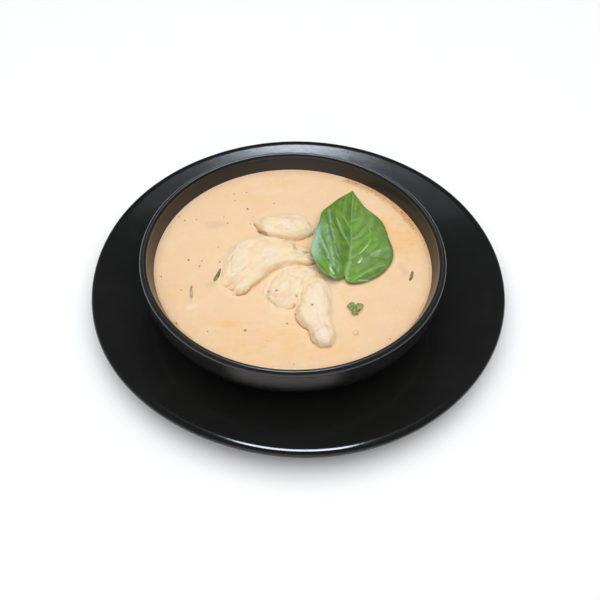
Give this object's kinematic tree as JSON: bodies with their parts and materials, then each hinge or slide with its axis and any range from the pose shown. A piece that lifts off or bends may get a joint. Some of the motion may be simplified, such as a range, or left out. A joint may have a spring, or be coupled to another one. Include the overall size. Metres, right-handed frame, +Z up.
{
  "type": "bowl of tom kha soup",
  "caption": "Round black glazed bowl of pale orange coconut soup with lumps of chicken, a broad basil leaf and a sprig of herb, standing on a wide black plate.",
  "frame": {"origin": "on the table, under the middle of the plate", "axes": "+Z up through the plate and the bowl, -Y towards the side that faces the viewer, +X to the viewer's right, where the basil leaf lies"},
  "size_m": [0.2296, 0.2302, 0.0419],
  "materials": {
    "plate_glaze": "satin black glaze",
    "bowl_glaze": "satin black glaze",
    "soup": "opaque pale orange coconut broth, softly shiny",
    "chicken": "cooked pale meat, moist",
    "basil": "fresh green leaf, waxy",
    "herb": "dull olive green leaf"
  },
  "bodies": {
    "root": {"plate": "plate_glaze", "bowl": "bowl_glaze", "soup": "soup", "chicken_top": "chicken", "chicken_left": "chicken", "chicken_centre": "chicken", "chicken_tail": "chicken", "basil_leaf": "basil", "herb_sprig": "herb"}
  },
  "joints": []
}
